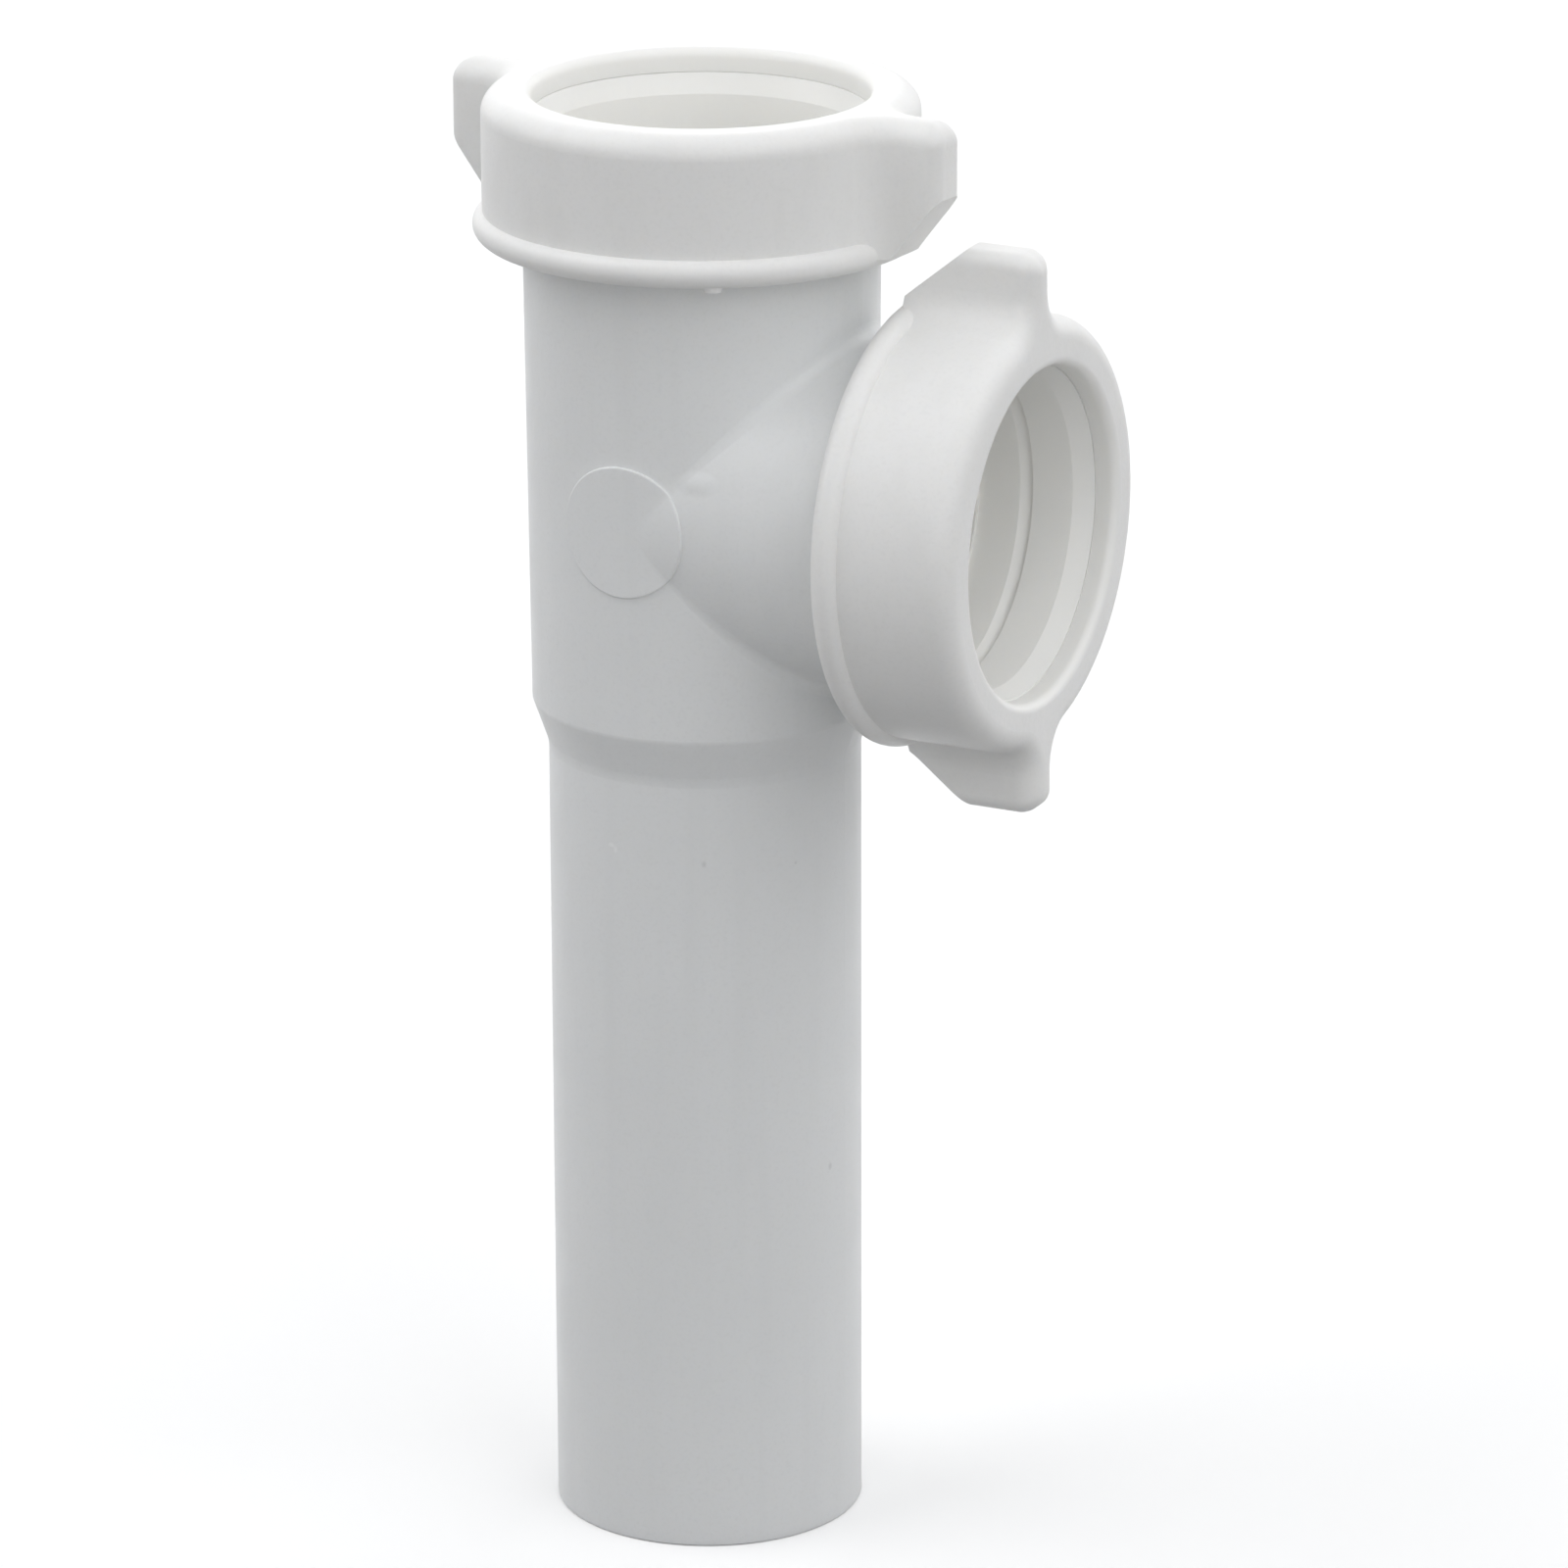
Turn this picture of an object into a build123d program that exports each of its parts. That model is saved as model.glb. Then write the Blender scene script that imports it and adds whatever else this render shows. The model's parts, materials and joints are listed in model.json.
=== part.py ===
from build123d import *
import math
import os

# A waste tee for 1-1/2 in tubular drains: a plain tail below, a slip-joint socket on top
# and another on the side, and a baffle wall inside that turns the side flow downwards.
# The origin is the centre of the tail's end, +Z runs up the tee and +X out of the branch.

# Tube and tail
tube_od = 38.1
tail_wall = 2.0
tail_length = 99.1
tail_edge_break = 0.2

# Shoulder and drafted body
socket_clearance = 0.25
shoulder_height = 5.6
shoulder_blend = 4.0
shoulder_crest_round = 1.2
body_wall_low = 1.7
body_wall_high = 2.2

# Branch
branch_wall = 1.8
branch_blend = 1.8
lower_land = 4.6
branch_neck = 6.75
nut_to_nut_gap = 5.5

# Round pad moulded on the near side, over the crossing of body and branch
pad_radius = 8.1
pad_stand_off = 0.3
pad_edge_round = 0.2

# Baffle and the passages on its two sides
baffle_offset = 3.0
baffle_wall = 2.2
baffle_drop = 6.5
deflector_slope_deg = 20.0
stop_ledge = 0.6
stop_land = 0.5

# Threaded sockets, with plain cylinders at the roots of the threads
thread_wall = 3.4
thread_height = 1.2
thread_clearance = 0.2
thread_length = 10.4
thread_runout = 1.0
thread_lead = 0.5
seat_flare = 2.6
seat_depth = 5.0

# Slip washer
washer_bore_clearance = 0.1
washer_side_gap = 0.3
washer_flange = 4.3
washer_nose = 3.2
washer_lead = 0.9
washer_lead_depth = 2.5
seat_gap = 0.3
nose_gap = 0.33
lip_gap = 0.05

# Winged slip nut
nut_wall = 2.17
lip_clearance = 1.2
lip_depth = 2.85
lip_mouth_round = 1.1
bead_bulge = 1.16
bead_height = 3.3
rim_round = 2.8
wing_reach = 8.4
wing_thickness = 6.0
wing_tip_height = 9.1
wing_tip_round = 1.8
wing_root_round = 4.5
wing_top_flat = 0.2
wing_foot_step = 1.15
wing_foot_height = 1.2
gate_radius = 1.1
gate_height = 0.6
gate_angle_deg = -54.0
top_nut_turn_deg = -5.5
side_nut_turn_deg = 1.5

# Radii that follow from the tube
tube_r = tube_od / 2
tail_bore_r = tube_r - tail_wall
socket_r = tube_r + socket_clearance
body_low_r = socket_r + body_wall_low
body_high_r = socket_r + body_wall_high
branch_r = socket_r + branch_wall
channel_r = socket_r - stop_ledge
seat_r = socket_r + seat_flare
thread_root_r = socket_r + thread_wall
nut_bore_r = thread_root_r + thread_height + thread_clearance
nut_r = nut_bore_r + nut_wall
bead_r = nut_r + bead_bulge
wing_r = nut_r + wing_reach
lip_r = tube_r + lip_clearance
washer_bore_r = tube_r + washer_bore_clearance
washer_r = nut_bore_r - thread_height - washer_side_gap

# Heights above the tail's end, and the reach of the branch
shoulder_top = tail_length + shoulder_height
branch_z = shoulder_top + lower_land + branch_r
top_mouth_z = branch_z + nut_r + nut_to_nut_gap + thread_length
side_mouth_x = body_low_r + branch_neck + thread_length
baffle_back_x = baffle_offset - baffle_wall / 2
baffle_front_x = baffle_offset + baffle_wall / 2
baffle_foot_z = branch_z - channel_r - baffle_drop
deflector_foot_z = branch_z + channel_r + baffle_wall
deflector_slope = math.tan(math.radians(deflector_slope_deg))
top_stop_z = deflector_foot_z + deflector_slope * (channel_r - baffle_back_x) + stop_land
side_stop_x = side_mouth_x - thread_length

# Heights in the frame of a socket's mouth, with +Z out of the mouth
flange_top = seat_gap + washer_flange
lip_under = flange_top + lip_gap
nut_top = lip_under + lip_depth
nut_low = -thread_length
nut_height = nut_top - nut_low
bead_middle = nut_low + bead_height / 2

# How near an edge or corner must lie to be picked by its place
near = 0.01

branch_axis = Axis((0, 0, branch_z), (1, 0, 0))


def circles_at(part, height, radius):
    """The part's round edges about Z at this height and radius."""
    ring = part.edges().filter_by(GeomType.CIRCLE)
    ring = ring.filter_by_position(Axis.Z, height - near, height + near)
    return ring.filter_by(lambda edge: abs(edge.radius - radius) < near)


# Core of the straight way: full bore above, then only the side away from the branch,
# bounded by the baffle and by the deflector that slopes over the branch port
with BuildPart() as through_core:
    with BuildSketch(Plane.XZ):
        with BuildLine():
            Polyline(
                (0, tail_length),
                (tail_bore_r, tail_length),
                (channel_r, shoulder_top),
                (channel_r, top_stop_z),
                (0, top_stop_z),
                close=True,
            )
        make_face()
    revolve(axis=Axis.Z)
    with BuildSketch(Plane.XZ):
        with BuildLine():
            Polyline(
                (-body_high_r, tail_length),
                (baffle_back_x, tail_length),
                (baffle_back_x, deflector_foot_z),
                (body_high_r, deflector_foot_z + deflector_slope * (body_high_r - baffle_back_x)),
                (body_high_r, top_mouth_z),
                (-body_high_r, top_mouth_z),
                close=True,
            )
        make_face()
    extrude(amount=body_high_r, both=True, mode=Mode.INTERSECT)

# Core of the top socket, with the flared seat for the washer's nose
with BuildPart() as top_socket_core:
    with BuildSketch(Plane.XZ):
        with BuildLine():
            Polyline(
                (0, top_stop_z),
                (socket_r, top_stop_z),
                (socket_r, top_mouth_z - seat_depth),
                (seat_r, top_mouth_z),
                (0, top_mouth_z),
                close=True,
            )
        make_face()
    revolve(axis=Axis.Z)

# Core of the side socket and the port, flat-ended at the baffle
with BuildPart() as side_core:
    with BuildSketch(Plane.XZ):
        with BuildLine():
            Polyline(
                (baffle_front_x, branch_z),
                (baffle_front_x, branch_z + channel_r),
                (side_stop_x, branch_z + channel_r),
                (side_stop_x, branch_z + socket_r),
                (side_mouth_x - seat_depth, branch_z + socket_r),
                (side_mouth_x, branch_z + seat_r),
                (side_mouth_x, branch_z),
                close=True,
            )
        make_face()
    revolve(axis=branch_axis)

# Core of the tail, carried up in front of the baffle to meet the port
with BuildPart() as outlet_core:
    with BuildSketch():
        Circle(tail_bore_r)
    extrude(amount=baffle_foot_z)
    with BuildSketch(Plane.XY.offset(baffle_foot_z)):
        Circle(tail_bore_r)
        with Locations((baffle_front_x, 0)):
            Rectangle(2 * tail_bore_r, 2 * tail_bore_r, align=(Align.MIN, Align.CENTER), mode=Mode.INTERSECT)
    extrude(amount=branch_z - baffle_foot_z)

# The pad follows the body and the branch and stands a little proud of both
with BuildPart() as pad:
    with BuildSketch(Plane.XZ):
        with BuildLine():
            Polyline(
                (0, shoulder_top),
                (body_low_r + pad_stand_off, shoulder_top),
                (body_high_r + pad_stand_off, top_mouth_z - thread_length),
                (0, top_mouth_z - thread_length),
                close=True,
            )
        make_face()
    revolve(axis=Axis.Z)
    with BuildSketch(Plane.YZ):
        with Locations((0, branch_z)):
            Circle(branch_r + pad_stand_off)
    before = pad.edges()
    extrude(amount=side_stop_x)
    fillet((pad.edges() - before).filter_by(GeomType.BSPLINE), branch_blend)
    with BuildSketch(Plane.XZ):
        with Locations((0, branch_z)):
            Circle(pad_radius)
    extrude(amount=2 * body_high_r, mode=Mode.INTERSECT)
    pad_wall = pad.faces().filter_by(GeomType.CYLINDER).sort_by(SortBy.AREA)[-1]
    fillet(pad_wall.edges().filter_by(GeomType.BSPLINE), pad_edge_round)

# The tee, one moulding
with BuildPart() as tee_body:
    with BuildSketch(Plane.XZ):
        with BuildLine():
            Polyline(
                (0, 0),
                (tube_r, 0),
                (tube_r, tail_length),
                (body_low_r, shoulder_top),
                (body_high_r, top_mouth_z - thread_length),
                (thread_root_r, top_mouth_z - thread_length + thread_runout),
                (thread_root_r, top_mouth_z),
                (0, top_mouth_z),
                close=True,
            )
        make_face()
    revolve(axis=Axis.Z)
    fillet(circles_at(tee_body, tail_length, tube_r), shoulder_blend)
    fillet(circles_at(tee_body, shoulder_top, body_low_r), shoulder_crest_round)
    chamfer(circles_at(tee_body, top_mouth_z, thread_root_r), thread_lead)
    chamfer(circles_at(tee_body, 0, tube_r), tail_edge_break)
    with BuildSketch(Plane.XZ):
        with BuildLine():
            Polyline(
                (0, branch_z),
                (0, branch_z + branch_r),
                (side_mouth_x - thread_length, branch_z + branch_r),
                (side_mouth_x - thread_length + thread_runout, branch_z + thread_root_r),
                (side_mouth_x - thread_lead, branch_z + thread_root_r),
                (side_mouth_x, branch_z + thread_root_r - thread_lead),
                (side_mouth_x, branch_z),
                close=True,
            )
        make_face()
    before = tee_body.edges()
    revolve(axis=branch_axis)
    fillet((tee_body.edges() - before).filter_by(GeomType.BSPLINE), branch_blend)
    add(pad.part)
    for core in (through_core, top_socket_core, side_core, outlet_core):
        add(core.part, mode=Mode.SUBTRACT)

# Slip nut in the frame of a socket's mouth: the plan outline with both wings is raised,
# its rim rounded in one pass, and the wings then cut to their slope above the bead
with BuildPart() as slip_nut:
    with BuildSketch(Plane.XY.offset(nut_low)) as outline:
        Circle(nut_r)
        Rectangle(2 * wing_r, wing_thickness)
        corners = outline.vertices().group_by(lambda vertex: round(math.hypot(vertex.X, vertex.Y), 3))
        fillet(corners[-1], wing_tip_round)
        roots = outline.vertices()
        roots = roots.filter_by(lambda vertex: abs(math.hypot(vertex.X, vertex.Y) - nut_r) < near)
        fillet(roots, wing_root_round)
    extrude(amount=nut_height)
    fillet(slip_nut.faces().sort_by(Axis.Z)[-1].edges(), min(rim_round, wing_thickness / 2 - wing_top_flat))
    with BuildSketch(Plane.XZ):
        with BuildLine():
            Polyline(
                (nut_r, nut_low),
                (nut_r, nut_low + wing_foot_height),
                (bead_r + wing_foot_step, nut_low + wing_foot_height),
                (wing_r, nut_top - wing_tip_height),
                (2 * wing_r, nut_top - wing_tip_height),
                (2 * wing_r, nut_low),
                close=True,
            )
        make_face()
    revolve(axis=Axis.Z, mode=Mode.SUBTRACT)
    with BuildSketch(Plane.XZ):
        with BuildLine():
            Line((nut_r - nut_wall / 2, nut_low), (nut_r, nut_low))
            ThreePointArc((nut_r, nut_low), (bead_r, bead_middle), (nut_r, nut_low + bead_height))
            Line((nut_r, nut_low + bead_height), (nut_r - nut_wall / 2, nut_low + bead_height))
            Line((nut_r - nut_wall / 2, nut_low + bead_height), (nut_r - nut_wall / 2, nut_low))
        make_face()
    revolve(axis=Axis.Z)
    with BuildSketch(Plane.XY.offset(nut_low)):
        Circle(nut_bore_r)
    extrude(amount=lip_under - nut_low, mode=Mode.SUBTRACT)
    with BuildSketch(Plane.XY.offset(lip_under)):
        Circle(lip_r)
    extrude(amount=lip_depth, mode=Mode.SUBTRACT)
    fillet(circles_at(slip_nut, nut_top, lip_r), lip_mouth_round)
    with BuildSketch(Plane.XY.offset(nut_low)):
        with PolarLocations(nut_bore_r + nut_wall / 2, 1, start_angle=gate_angle_deg):
            Circle(gate_radius)
    extrude(amount=-gate_height)

# Tapered slip washer in the same frame: a flange under the nut's lip, a nose in the flared
# seat, and a funnel that leads the tube in
with BuildPart() as slip_washer:
    nose_slope = seat_flare / seat_depth
    with BuildSketch(Plane.XZ):
        with BuildLine():
            Polyline(
                (washer_bore_r, -washer_nose),
                (seat_r - nose_gap - nose_slope * washer_nose, -washer_nose),
                (seat_r - nose_gap + nose_slope * seat_gap, seat_gap),
                (washer_r, seat_gap),
                (washer_r, flange_top),
                (washer_bore_r + washer_lead, flange_top),
                (washer_bore_r, flange_top - washer_lead_depth),
                close=True,
            )
        make_face()
    revolve(axis=Axis.Z)

os.makedirs("parts", exist_ok=True)
tee_body.part.label = "tee_body"
export_step(tee_body.part, "parts/tee_body.step")

# One nut and one washer at each socket, turned as they were left
top_turn = math.radians(top_nut_turn_deg)
side_turn = math.radians(side_nut_turn_deg)
seats = {
    "top": Plane((0, 0, top_mouth_z), (math.cos(top_turn), math.sin(top_turn), 0), (0, 0, 1)),
    "side": Plane((side_mouth_x, 0, branch_z), (0, -math.sin(side_turn), math.cos(side_turn)), (1, 0, 0)),
}
for end, seat in seats.items():
    for kind, piece in (("slip_nut", slip_nut), ("slip_washer", slip_washer)):
        placed = seat.location * piece.part
        placed.label = f"{end}_{kind}"
        export_step(placed, f"parts/{placed.label}.step")
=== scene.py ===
import json
import math

import bpy
from bpy.props import FloatProperty, FloatVectorProperty, IntProperty, PointerProperty
from mathutils import Matrix, Vector


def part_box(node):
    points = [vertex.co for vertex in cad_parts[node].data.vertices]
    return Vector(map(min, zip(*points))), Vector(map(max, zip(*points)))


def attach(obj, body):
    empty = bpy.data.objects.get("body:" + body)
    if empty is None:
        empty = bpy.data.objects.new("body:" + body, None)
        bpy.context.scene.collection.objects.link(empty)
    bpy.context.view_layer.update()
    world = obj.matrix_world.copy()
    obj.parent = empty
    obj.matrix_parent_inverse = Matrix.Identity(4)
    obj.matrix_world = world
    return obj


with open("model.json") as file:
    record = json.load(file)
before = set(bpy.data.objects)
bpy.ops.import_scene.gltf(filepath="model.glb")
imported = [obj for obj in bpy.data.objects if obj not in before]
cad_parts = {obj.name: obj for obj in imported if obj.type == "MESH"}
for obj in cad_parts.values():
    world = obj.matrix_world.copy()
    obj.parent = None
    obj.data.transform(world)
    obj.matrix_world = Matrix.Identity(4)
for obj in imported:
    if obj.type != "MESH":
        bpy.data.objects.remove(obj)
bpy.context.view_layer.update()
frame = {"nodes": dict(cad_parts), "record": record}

bl_info = {
    "name": "Baffle tee looks",
    "version": (1, 0, 0),
    "blender": (4, 5, 0),
    "location": "View3D > Sidebar > Baffle tee",
    "description": "Moulded plastic, screw threads, stage and camera for a tubular drain tee",
    "category": "Object",
}

MM = 0.001


def mount_of(name):
    """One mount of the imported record."""
    return next(mount for mount in frame["record"]["mounts"] if mount["name"] == name)


# Where the two sockets lie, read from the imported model
TEE_LOW, TEE_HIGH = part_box("tee_body")
BRANCH_Z = mount_of("side_inlet")["pos_m"][2]
TUBE_RADIUS = mount_of("tail_spigot")["dims"]["r_mm"] * MM
THREAD_ROOT_RADIUS = TEE_HIGH.y
SOCKETS = {
    "top": Matrix.Translation((0, 0, TEE_HIGH.z)),
    "side": Matrix.Translation((TEE_HIGH.x, 0, BRANCH_Z)) @ Matrix.Rotation(math.pi / 2, 4, "Y"),
}


# Azimuth and elevation of each lamp in degrees, azimuth 0 being in front of the tee
LAMP_PLACES = {
    "top_lamp": (27, 88),
    "right_lamp": (85, 45),
    "left_lamp": (-63, 42),
    "back_lamp": (160, 25),
    "far_lamp": (-130, 20),
    "front_lamp": (32, 14),
}

# Height above the shoulder from which the upright tube counts as a socket
BODY_START = 105 * MM

# The insides of the two sockets, whose walls are painted paler as painted light: directions across each axis,
# shift to it, the direction along it and where the socket starts on that
INSIDE_SPANS = (
    ((1, 1, 0), (0, 0, 0), "Z", BODY_START),
    ((0, 1, 1), (0, 0, -BRANCH_Z), "X", TUBE_RADIUS),
)

# Walls this near to a socket's axis are its inside and get the paler colour of painted light, and the change
# of colour fades over the edge
WALL_RADIUS = 20.3 * MM
NUT_LIP_RADIUS = 21.0 * MM
INSIDE_EDGE = 0.3 * MM
INSIDE_FADE = 1.0 * MM

# Small marks on the tee in mm: centre and half-lengths of an egg-shaped patch
DARK_SPECKS = (
    ((8.6, -17.0, 88.9), (0.4, 0.4, 0.6)),
    ((18.7, -3.5, 47.3), (0.5, 0.5, 0.7)),
    ((16.9, -8.9, 87.9), (0.3, 0.3, 0.3)),
)
PALE_SCUFFS = (
    ((-3.0, -18.8, 90.2), (0.7, 0.7, 0.4)),
    ((-2.4, -18.9, 89.7), (0.3, 0.5, 0.6)),
)
FLOW_DAB = ((9.6, -19.0, 137.2), (3.4, 3.0, 1.7))

# Share of such a patch, from its centre, that has its full strength
PATCH_CORE = 0.2

# Features to the metre of each pattern in the plastic
CLOUDS = 45.0
STREAKS = 220.0
GRAIN = 2200.0
SHEEN = 140.0
WAVES = 70.0
PEEL = 900.0

# Part of each noise that shows, and the strengths that its two ends take
CLOUD_SPAN = (0.3, 0.7)
STREAK_SPAN = (0.52, 0.72, 0.0, 0.5)
GRAIN_SPAN = (0.5, 0.75, 0.0, 0.45)
SHEEN_SPAN = (0.3, 0.7)
SHEEN_SWING = 0.06

# Shade of each pattern and mark, as a share of the plastic's own colour
CLOUD_SHADES = (0.98, 1.01)
STREAK_SHADE = 0.955
GRAIN_SHADE = 0.94
SPECK_SHADE = 0.86
SCUFF_SHADE = 1.06

# Heights of the relief on the surface
WAVE_HEIGHT = 0.08 * MM
PEEL_HEIGHT = 0.03 * MM
DAB_HEIGHT = 0.18 * MM

# Scale of the streaks along x, y and z: they run long where it is small
TEE_FLOW = (1, 1, 0.05)
NUT_FLOW = (1, 1, 0.4)
EVEN_FLOW = (1, 1, 1)

# Polypropylene bends light this much, and lets red spread furthest
PLASTIC_IOR = 1.49
GLOW_COLOUR = (1.0, 0.93, 0.82)

# How far a ridge's root is sunk in its wall, and how many run-outs of its ends would fill a turn
ROOT_SINK = 0.05 * MM
RUN_OUTS_IN_A_TURN = 6

# The floor's matt surface, the picture's width in mm for the lens, and how far the camera sees in metres
FLOOR_ROUGHNESS = 0.9
PICTURE_WIDTH = 36.0
CAMERA_REACH = 50.0

# Sockets of Blender's Mix node when it mixes colours
MIX_FACTOR, MIX_FIRST, MIX_SECOND, MIX_RESULT = 0, 6, 7, 2


class ThreadSizes(bpy.types.PropertyGroup):
    """Sizes of the slip-joint screw thread."""

    pitch: FloatProperty(
        name="Pitch", description="Rise of the thread in one turn, 11.5 turns to the inch",
        default=25.4 / 11.5 * MM, unit="LENGTH", precision=5,
    )
    height: FloatProperty(
        name="Ridge height", description="How far a ridge stands from its root",
        default=1.2 * MM, unit="LENGTH", precision=5,
    )
    clearance: FloatProperty(
        name="Clearance", description="Gap between a ridge's crest and the facing root",
        default=0.2 * MM, unit="LENGTH", precision=5,
    )
    foot: FloatProperty(
        name="Ridge foot", description="Width of a ridge at its root",
        default=1.3 * MM, unit="LENGTH", precision=5,
    )
    crest: FloatProperty(
        name="Ridge crest", description="Width of a ridge at its crest",
        default=0.5 * MM, unit="LENGTH", precision=5,
    )
    length: FloatProperty(
        name="Threaded length", description="Length of the thread along the socket",
        default=8.6 * MM, unit="LENGTH", precision=5,
    )
    mouth_gap: FloatProperty(
        name="Gap to the mouth", description="Plain stretch between the thread and the socket's mouth",
        default=0.7 * MM, unit="LENGTH", precision=5,
    )
    steps: IntProperty(
        name="Steps in a turn", description="Sections along one turn of the thread", default=96, min=24,
    )


class PlasticFinish(bpy.types.PropertyGroup):
    """Colours and surface of the moulded plastic."""

    tee_colour: FloatVectorProperty(
        name="Tee", description="Colour of the tee", subtype="COLOR", size=3,
        default=(0.875, 0.886, 0.887),
    )
    nut_colour: FloatVectorProperty(
        name="Nuts", description="Colour of the slip nuts", subtype="COLOR", size=3,
        default=(0.94, 0.937, 0.922),
    )
    washer_colour: FloatVectorProperty(
        name="Washers", description="Colour of the slip washers", subtype="COLOR", size=3,
        default=(0.975, 0.97, 0.945),
    )
    # Painted light: a paler colour painted on the walls inside the sockets, standing in for light that
    # bounces about and shines through the milky plastic there.
    inside_painted_light: FloatVectorProperty(
        name="Inside", description="Colour of the painted_lit walls inside the sockets", subtype="COLOR", size=3,
        default=(0.985, 0.98, 0.95),
    )
    roughness: FloatProperty(
        name="Roughness", description="How matt the moulded surface is", subtype="FACTOR",
        default=0.42, min=0, max=1,
    )
    glow_depth: FloatProperty(
        name="Glow depth", description="How far light spreads inside the milky plastic",
        default=2.0 * MM, unit="LENGTH", precision=5,
    )
    glow: FloatProperty(
        name="Glow", description="Share of the light that spreads inside the plastic", subtype="FACTOR",
        default=0.25, min=0, max=1,
    )


class StageSettings(bpy.types.PropertyGroup):
    """Floor, lamps and camera."""

    floor_size: FloatProperty(
        name="Floor size", description="Width of the plain floor", default=8.0, unit="LENGTH",
    )
    floor_colour: FloatVectorProperty(
        name="Floor", description="Colour of the floor as the camera sees it", subtype="COLOR", size=3,
        default=(0.99, 0.99, 0.99),
    )
    floor_lift: FloatProperty(
        name="Floor lift", description="Light that the floor adds where the camera sees it, to show white",
        default=0.1,
    )
    floor_bounce: FloatVectorProperty(
        name="Floor bounce", description="Colour of the floor as it lights the tee from below",
        subtype="COLOR", size=3, default=(0.22, 0.22, 0.22),
    )
    room_colour: FloatVectorProperty(
        name="Room", description="Colour of the even light all around", subtype="COLOR", size=3,
        default=(0.985, 0.99, 1.0),
    )
    room_strength: FloatProperty(
        name="Room light", description="Strength of the even light all around", default=0.15,
    )
    top_lamp: FloatProperty(
        name="Top lamp", description="Strength of the broad lamp overhead", default=0.25,
    )
    right_lamp: FloatProperty(
        name="Right lamp", description="Strength of the broad lamp that reaches into the branch",
        default=0.95,
    )
    left_lamp: FloatProperty(
        name="Left lamp", description="Strength of the broad lamp to the left", default=1.2,
    )
    back_lamp: FloatProperty(
        name="Back lamp", description="Strength of the broad lamp behind the branch", default=0.82,
    )
    far_lamp: FloatProperty(
        name="Far lamp", description="Strength of the broad lamp behind the tee, away from the branch",
        default=0.7,
    )
    front_lamp: FloatProperty(
        name="Front lamp", description="Strength of the broad lamp beside the camera", default=0.75,
    )
    lamp_breadth: FloatProperty(
        name="Lamp breadth", description="Angle that each lamp fills, seen from the tee", subtype="ANGLE",
        default=math.radians(60),
    )
    azimuth: FloatProperty(
        name="Azimuth", description="Camera's angle round the tee", subtype="ANGLE",
        default=math.radians(27.02),
    )
    elevation: FloatProperty(
        name="Elevation", description="Camera's angle above the floor", subtype="ANGLE",
        default=math.radians(18.10),
    )
    roll: FloatProperty(
        name="Roll", description="Camera's turn about its own line of sight", subtype="ANGLE",
        default=math.radians(-0.20),
    )
    distance: FloatProperty(
        name="Distance", description="Camera's distance from its aim", default=1.0042, unit="LENGTH",
    )
    aim: FloatVectorProperty(
        name="Aim", description="Point that the camera looks at", subtype="TRANSLATION", size=3,
        default=(0.01077, 0.0, 0.09441),
    )
    lens: FloatProperty(
        name="Lens", description="Focal length for a 36 mm wide picture", default=189.64,
    )


class TeeSettings(bpy.types.PropertyGroup):
    """All settings of the baffle tee."""

    thread: PointerProperty(type=ThreadSizes)
    finish: PointerProperty(type=PlasticFinish)
    stage: PointerProperty(type=StageSettings)


class NodeTree:
    """Short calls for wiring nodes."""

    def __init__(self, tree):
        self.tree = tree

    def add(self, kind, **settings):
        """A new node with these settings."""
        node = self.tree.nodes.new(kind)
        for key, value in settings.items():
            setattr(node, key, value)
        return node

    def wire(self, source, socket):
        """A link from an output to an input."""
        self.tree.links.new(source, socket)

    def joined(self, operation, first, second):
        """Two factors put together."""
        node = self.add("ShaderNodeMath", operation=operation)
        self.wire(first, node.inputs[0])
        self.wire(second, node.inputs[1])
        return node.outputs["Value"]

    def blend(self, factor, first, second):
        """A colour between first and second; each is a colour or a socket."""
        node = self.add("ShaderNodeMix", data_type="RGBA")
        self.wire(factor, node.inputs[MIX_FACTOR])
        for place, colour in ((MIX_FIRST, first), (MIX_SECOND, second)):
            socket = node.inputs[place]
            if isinstance(colour, bpy.types.NodeSocket):
                self.wire(colour, socket)
            else:
                socket.default_value = (*colour, 1.0)
        return node.outputs[MIX_RESULT]


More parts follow.
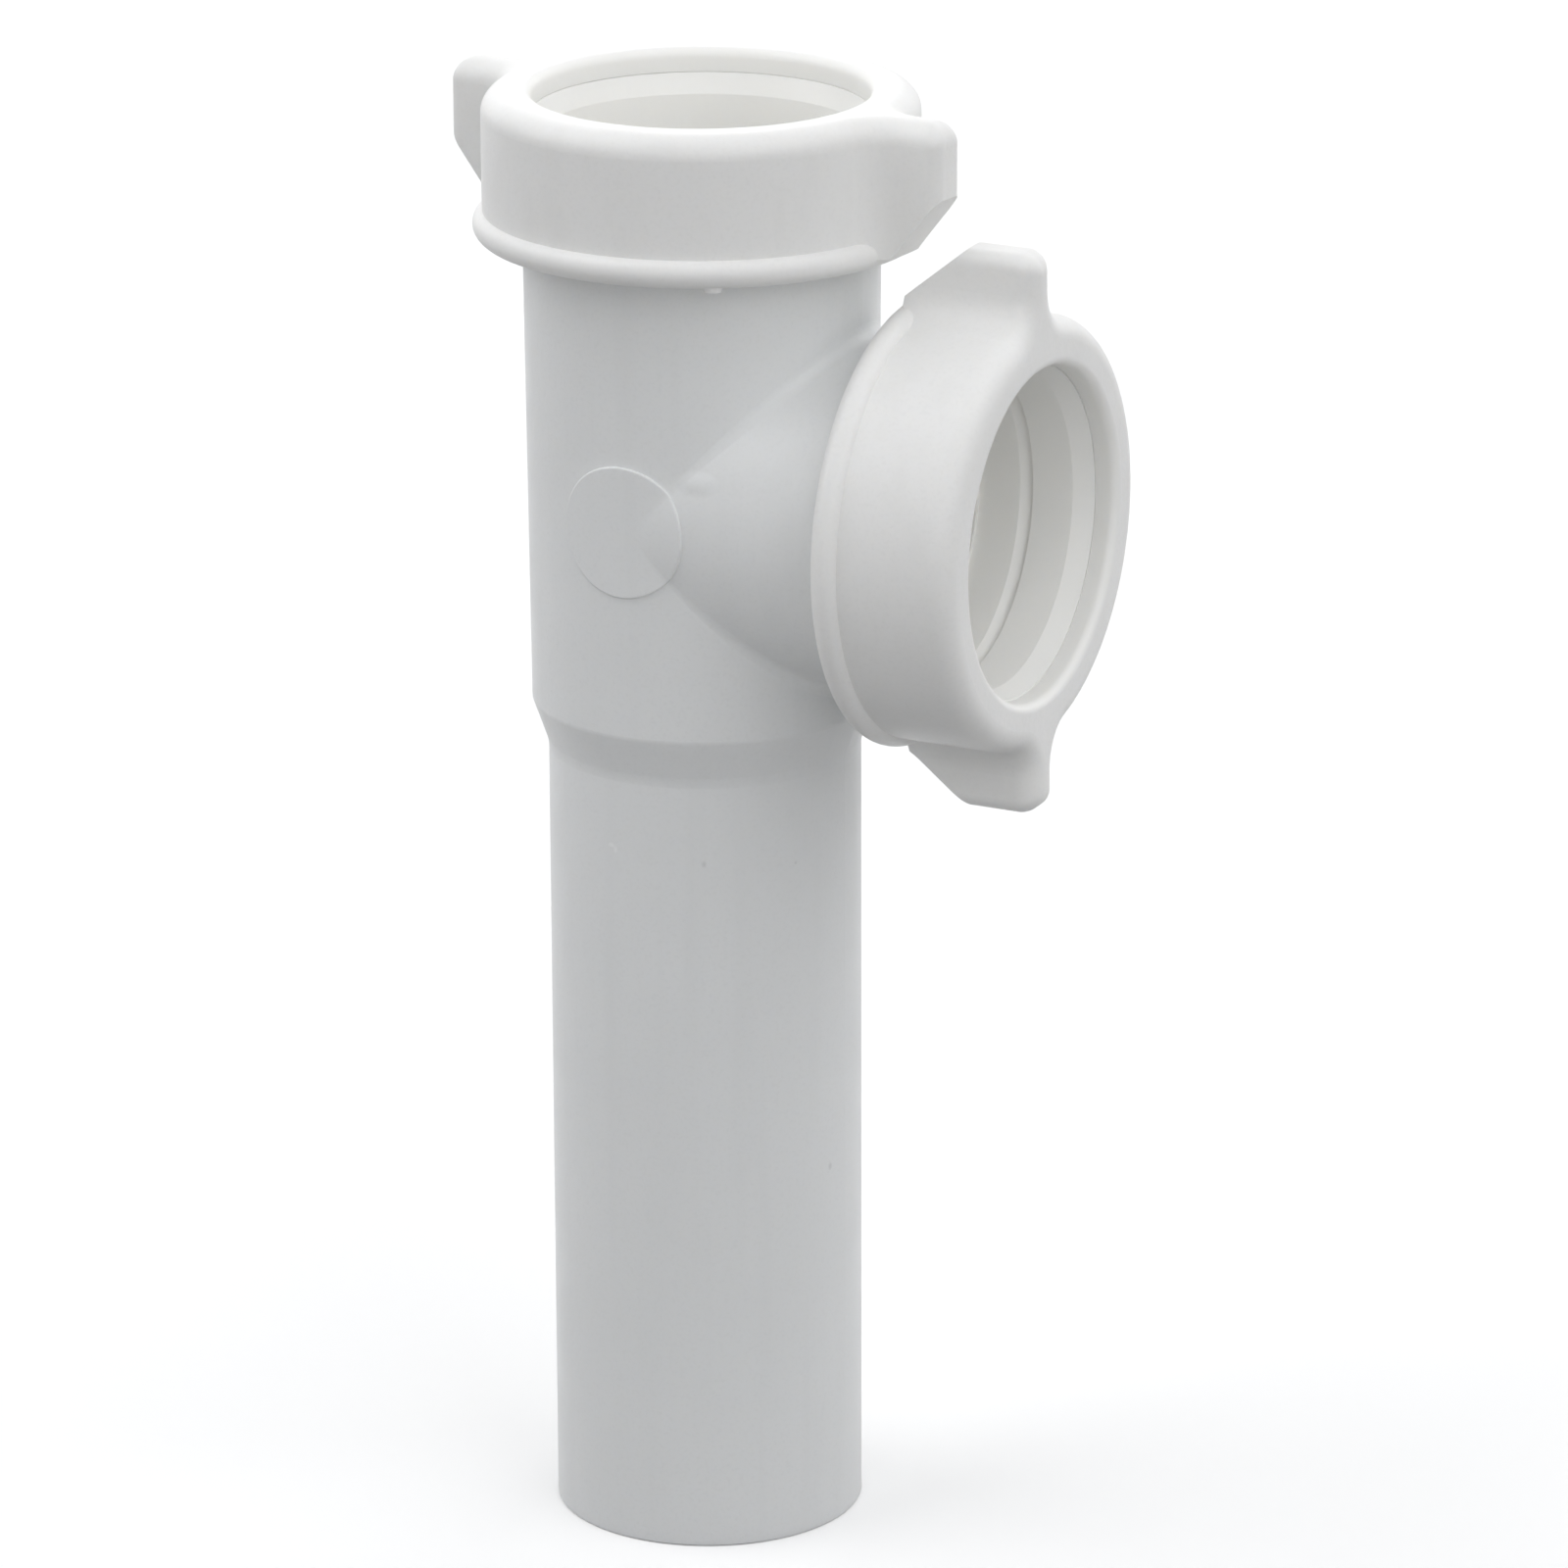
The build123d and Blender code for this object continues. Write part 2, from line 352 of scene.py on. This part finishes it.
class Shader(NodeTree):
    """One material and its nodes."""

    def __init__(self, name):
        self.material = bpy.data.materials.new(name)
        self.material.use_nodes = True
        super().__init__(self.material.node_tree)
        self.surface = self.tree.nodes["Principled BSDF"]
        self.place = self.add("ShaderNodeTexCoord").outputs["Object"]

    def noise(self, scale, detail=3.0, stretch=EVEN_FLOW):
        """A noise from 0 to 1, scale features to the metre."""
        mapping = self.add("ShaderNodeMapping")
        mapping.inputs["Scale"].default_value = stretch
        self.wire(self.place, mapping.inputs["Vector"])
        node = self.add("ShaderNodeTexNoise")
        node.inputs["Scale"].default_value = scale
        node.inputs["Detail"].default_value = detail
        self.wire(mapping.outputs["Vector"], node.inputs["Vector"])
        return node.outputs["Fac"]

    def ranged(self, source, low, high, to_low=0.0, to_high=1.0):
        """The source's stretch from low to high, carried over to another stretch."""
        node = self.add("ShaderNodeMapRange", clamp=True)
        node.inputs["From Min"].default_value = low
        node.inputs["From Max"].default_value = high
        node.inputs["To Min"].default_value = to_low
        node.inputs["To Max"].default_value = to_high
        self.wire(source, node.inputs["Value"])
        return node.outputs["Result"]

    def patch(self, centre, size):
        """1 in the core of an egg-shaped patch, fading to 0 at its edge; centre and half-lengths in mm."""
        mapping = self.add("ShaderNodeMapping", vector_type="TEXTURE")
        mapping.inputs["Location"].default_value = [part * MM for part in centre]
        mapping.inputs["Scale"].default_value = [part * MM for part in size]
        self.wire(self.place, mapping.inputs["Vector"])
        length = self.add("ShaderNodeVectorMath", operation="LENGTH")
        self.wire(mapping.outputs["Vector"], length.inputs[0])
        fade = self.ranged(length.outputs["Value"], 1.0, PATCH_CORE)
        fade.node.interpolation_type = "SMOOTHSTEP"
        return fade

    def inside(self, radius):
        """1 on the walls inside the two sockets, within a radius in metres of their axes, where painted light
        makes the colour paler.
        """
        split = self.add("ShaderNodeSeparateXYZ")
        self.wire(self.place, split.inputs[0])
        total = None
        for across, shift, along, start in INSIDE_SPANS:
            flat = self.add("ShaderNodeMapping")
            flat.inputs["Scale"].default_value = across
            flat.inputs["Location"].default_value = shift
            self.wire(self.place, flat.inputs["Vector"])
            length = self.add("ShaderNodeVectorMath", operation="LENGTH")
            self.wire(flat.outputs["Vector"], length.inputs[0])
            near = self.ranged(length.outputs["Value"], radius + INSIDE_EDGE, radius - INSIDE_EDGE)
            beyond = self.ranged(split.outputs[along], start, start + INSIDE_FADE)
            both = self.joined("MULTIPLY", near, beyond)
            total = both if total is None else self.joined("MAXIMUM", total, both)
        return total

    def bump(self, height, distance, below=None):
        """A bump of this height in metres, on top of another bump."""
        node = self.add("ShaderNodeBump")
        node.inputs["Distance"].default_value = distance
        self.wire(height, node.inputs["Height"])
        if below is not None:
            self.wire(below, node.inputs["Normal"])
        return node.outputs["Normal"]


def seen_directly(nodes):
    """1 for what the camera sees directly or in gloss, and 0 for light on its way to the tee."""
    path = nodes.add("ShaderNodeLightPath")
    total = path.outputs["Is Camera Ray"]
    for name in ("Is Glossy Ray", "Is Transmission Ray"):
        total = nodes.joined("MAXIMUM", total, path.outputs[name])
    return total


def direction(azimuth, elevation):
    """The way from the tee towards a place round it, azimuth 0 being in front."""
    level = math.cos(elevation)
    return Vector((math.sin(azimuth) * level, -math.cos(azimuth) * level, math.sin(elevation)))


def tinted(colour, share):
    """The colour made lighter or darker by a share."""
    return tuple(min(1.0, part * share) for part in colour)


def moulded_plastic(name, colour, finish, painted_light_radius, flow=EVEN_FLOW, dark=(), pale=(), dab=None):
    """Milky polypropylene: faint clouds and flow streaks, fine grain and peel, a few small marks, and painted
    light: a paler colour on the walls inside the sockets.
    """
    shader = Shader(name)
    surface = shader.surface
    cloud = shader.ranged(shader.noise(CLOUDS), *CLOUD_SPAN)
    tone = shader.blend(cloud, *(tinted(colour, shade) for shade in CLOUD_SHADES))
    streak = shader.ranged(shader.noise(STREAKS, detail=2.0, stretch=flow), *STREAK_SPAN)
    tone = shader.blend(streak, tone, tinted(colour, STREAK_SHADE))
    grain = shader.ranged(shader.noise(GRAIN, detail=1.0), *GRAIN_SPAN)
    tone = shader.blend(grain, tone, tinted(colour, GRAIN_SHADE))
    for centre, size in dark:
        tone = shader.blend(shader.patch(centre, size), tone, tinted(colour, SPECK_SHADE))
    for centre, size in pale:
        tone = shader.blend(shader.patch(centre, size), tone, tinted(colour, SCUFF_SHADE))
    # Painted light: the walls inside the sockets take a paler colour, standing in for light that bounces
    # about and shines through the milky plastic there.
    tone = shader.blend(shader.inside(painted_light_radius), tone, finish.inside_painted_light)
    shader.wire(tone, surface.inputs["Base Color"])
    smooth, matt = finish.roughness - SHEEN_SWING, finish.roughness + SHEEN_SWING
    sheen = shader.ranged(shader.noise(SHEEN), *SHEEN_SPAN, smooth, matt)
    shader.wire(sheen, surface.inputs["Roughness"])
    relief = shader.bump(shader.noise(WAVES, detail=1.0, stretch=flow), WAVE_HEIGHT)
    relief = shader.bump(shader.noise(PEEL, detail=2.0), PEEL_HEIGHT, relief)
    if dab is not None:
        relief = shader.bump(shader.patch(*dab), DAB_HEIGHT, relief)
    shader.wire(relief, surface.inputs["Normal"])
    surface.inputs["IOR"].default_value = PLASTIC_IOR
    surface.inputs["Subsurface Weight"].default_value = finish.glow
    surface.inputs["Subsurface Radius"].default_value = GLOW_COLOUR
    surface.inputs["Subsurface Scale"].default_value = finish.glow_depth
    return shader.material


def dress(node_name, material):
    """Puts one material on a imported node."""
    slots = frame["nodes"][node_name].material_slots
    if not slots:
        raise RuntimeError(f"{node_name} has no material slot")
    for slot in slots:
        slot.material = material


def wind_thread(name, seat, root, reach, start, length, turn, sizes):
    """A helical ridge about a socket's axis; reach is outwards on a socket and inwards, below 0, in a nut."""
    sink = ROOT_SINK * (-1 if reach > 0 else 1)
    count = int(length / sizes.pitch * sizes.steps)
    run_out = sizes.steps // RUN_OUTS_IN_A_TURN
    vertices = []
    faces = []
    for i in range(count + 1):
        angle = 2 * math.pi * i / sizes.steps + turn
        fade = min(1.0, i / run_out, (count - i) / run_out)
        rise = start + sizes.pitch * i / sizes.steps
        section = (
            (root + sink, -sizes.foot / 2),
            (root, -sizes.foot / 2),
            (root + reach * fade, -sizes.crest / 2),
            (root + reach * fade, sizes.crest / 2),
            (root, sizes.foot / 2),
            (root + sink, sizes.foot / 2),
        )
        for radius, shift in section:
            point = Vector((radius * math.cos(angle), radius * math.sin(angle), rise + shift))
            vertices.append(seat @ point)
    ring = len(section)
    for i in range(count):
        for j in range(ring):
            corner = i * ring + j
            beside = i * ring + (j + 1) % ring
            face = (corner, beside, beside + ring, corner + ring)
            faces.append(face if reach < 0 else face[::-1])
    first = tuple(range(ring))
    last = tuple(range(count * ring, (count + 1) * ring))
    faces.append(first[::-1] if reach < 0 else first)
    faces.append(last if reach < 0 else last[::-1])
    mesh = bpy.data.meshes.new(name)
    mesh.from_pydata(vertices, [], faces)
    mesh.validate()
    piece = bpy.data.objects.new(name, mesh)
    bpy.context.collection.objects.link(piece)
    return piece


class FinishTeeBody(bpy.types.Operator):
    """Give the tee its moulded plastic."""

    bl_idname = "baffle_tee.finish_body"
    bl_label = "Finish tee body"

    def execute(self, context):
        finish = context.scene.baffle_tee.finish
        material = moulded_plastic(
            "tee_plastic_moulded", finish.tee_colour, finish, WALL_RADIUS,
            TEE_FLOW, DARK_SPECKS, PALE_SCUFFS, FLOW_DAB,
        )
        dress("tee_body", material)
        return {"FINISHED"}


class FinishSlipNuts(bpy.types.Operator):
    """Give both slip nuts their moulded plastic."""

    bl_idname = "baffle_tee.finish_nuts"
    bl_label = "Finish slip nuts"

    def execute(self, context):
        finish = context.scene.baffle_tee.finish
        material = moulded_plastic(
            "nut_plastic_moulded", finish.nut_colour, finish, NUT_LIP_RADIUS, NUT_FLOW,
        )
        for end in SOCKETS:
            dress(f"{end}_slip_nut", material)
        return {"FINISHED"}


class FinishSlipWashers(bpy.types.Operator):
    """Give both slip washers their smooth plastic."""

    bl_idname = "baffle_tee.finish_washers"
    bl_label = "Finish slip washers"

    def execute(self, context):
        finish = context.scene.baffle_tee.finish
        material = moulded_plastic("washer_plastic_smooth", finish.washer_colour, finish, WALL_RADIUS)
        for end in SOCKETS:
            dress(f"{end}_slip_washer", material)
        return {"FINISHED"}


class WindThreads(bpy.types.Operator):
    """Wind the screw threads on both sockets and inside both nuts."""

    bl_idname = "baffle_tee.wind_threads"
    bl_label = "Wind screw threads"

    def execute(self, context):
        sizes = context.scene.baffle_tee.thread
        nut_root = THREAD_ROOT_RADIUS + sizes.height + sizes.clearance
        start = -sizes.mouth_gap - sizes.length
        for end, seat in SOCKETS.items():
            kinds = (
                (
                    f"{end}_socket_thread", "tee", "tee_plastic", "tee_body",
                    THREAD_ROOT_RADIUS, sizes.height, 0.0,
                ),
                (
                    f"{end}_nut_thread", f"{end}_nut", "nut_plastic", f"{end}_slip_nut",
                    nut_root, -sizes.height, math.pi,
                ),
            )
            for name, body, slot, donor, root, reach, turn in kinds:
                piece = wind_thread(name, seat, root, reach, start, sizes.length, turn, sizes)
                piece.data.materials.append(frame["nodes"][donor].material_slots[0].material)
                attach(piece, body)
        return {"FINISHED"}


class SetStage(bpy.types.Operator):
    """Lay the pale floor, set the lamps and aim the camera."""

    bl_idname = "baffle_tee.set_stage"
    bl_label = "Set stage"

    def execute(self, context):
        stage = context.scene.baffle_tee.stage
        self.lay_floor(context, stage)
        self.light(context, stage)
        self.aim_camera(context, stage)
        context.scene.view_settings.view_transform = "Standard"
        return {"FINISHED"}

    def lay_floor(self, context, stage):
        """A plain floor, pale to the camera and in gloss, that lights the tee only a little from below."""
        half = stage.floor_size / 2
        mesh = bpy.data.meshes.new("floor")
        corners = [(-half, -half, 0), (half, -half, 0), (half, half, 0), (-half, half, 0)]
        mesh.from_pydata(corners, [], [(0, 1, 2, 3)])
        floor = bpy.data.objects.new("floor", mesh)
        context.collection.objects.link(floor)
        shader = Shader("pale_floor")
        seen = seen_directly(shader)
        tone = shader.blend(seen, stage.floor_bounce, stage.floor_colour)
        shader.wire(tone, shader.surface.inputs["Base Color"])
        lift = shader.ranged(seen, 0.0, 1.0, 0.0, stage.floor_lift)
        shader.wire(lift, shader.surface.inputs["Emission Strength"])
        shader.surface.inputs["Emission Color"].default_value = (1, 1, 1, 1)
        shader.surface.inputs["Roughness"].default_value = FLOOR_ROUGHNESS
        mesh.materials.append(shader.material)

    def light(self, context, stage):
        """A dim even room that shows white, and broad soft lamps round the tee."""
        world = bpy.data.worlds.new("room")
        world.use_nodes = True
        context.scene.world = world
        room = NodeTree(world.node_tree)
        dim = tinted(stage.room_colour, stage.room_strength)
        tone = room.blend(seen_directly(room), dim, (1, 1, 1))
        room.wire(tone, world.node_tree.nodes["Background"].inputs["Color"])
        for name, (azimuth, elevation) in LAMP_PLACES.items():
            lamp = bpy.data.lights.new(name, "SUN")
            lamp.energy = getattr(stage, name)
            lamp.color = stage.room_colour
            lamp.angle = stage.lamp_breadth
            holder = bpy.data.objects.new(name, lamp)
            holder.rotation_mode = "QUATERNION"
            towards = direction(math.radians(azimuth), math.radians(elevation))
            holder.rotation_quaternion = towards.to_track_quat("Z", "Y")
            context.collection.objects.link(holder)

    def aim_camera(self, context, stage):
        """A long lens at the measured viewing angle."""
        azimuth, elevation, roll = stage.azimuth, stage.elevation, stage.roll
        back = direction(azimuth, elevation)
        right = Vector((math.cos(azimuth), math.sin(azimuth), 0))
        up = back.cross(right)
        tilted_right = math.cos(roll) * right + math.sin(roll) * up
        tilted_up = math.cos(roll) * up - math.sin(roll) * right
        camera = bpy.data.cameras.new("camera")
        camera.lens = stage.lens
        camera.sensor_width = PICTURE_WIDTH
        camera.clip_end = CAMERA_REACH
        holder = bpy.data.objects.new("camera", camera)
        turn = Matrix((tilted_right, tilted_up, back)).transposed().to_4x4()
        holder.matrix_world = Matrix.Translation(Vector(stage.aim) + stage.distance * back) @ turn
        context.collection.objects.link(holder)
        context.scene.camera = holder


class TeePanel(bpy.types.Panel):
    """The tee's steps and settings."""

    bl_idname = "VIEW3D_PT_baffle_tee"
    bl_label = "Baffle tee"
    bl_space_type = "VIEW_3D"
    bl_region_type = "UI"
    bl_category = "Baffle tee"

    def draw(self, context):
        settings = context.scene.baffle_tee
        for step in STEPS:
            self.layout.operator(step.bl_idname)
        for group in (settings.thread, settings.finish, settings.stage):
            box = self.layout.box()
            for key in group.__annotations__:
                box.prop(group, key)


STEPS = (FinishTeeBody, FinishSlipNuts, FinishSlipWashers, WindThreads, SetStage)
CLASSES = (ThreadSizes, PlasticFinish, StageSettings, TeeSettings, *STEPS, TeePanel)


def register():
    """Make the steps and settings known to Blender."""
    for kind in CLASSES:
        bpy.utils.register_class(kind)
    bpy.types.Scene.baffle_tee = PointerProperty(type=TeeSettings)


def unregister():
    """Take the steps and settings away again."""
    del bpy.types.Scene.baffle_tee
    for kind in reversed(CLASSES):
        bpy.utils.unregister_class(kind)


def main():
    """Run every step in order."""
    register()
    for step in STEPS:
        group, action = step.bl_idname.split(".")
        getattr(getattr(bpy.ops, group), action)()


if __name__ == "__main__":
    main()
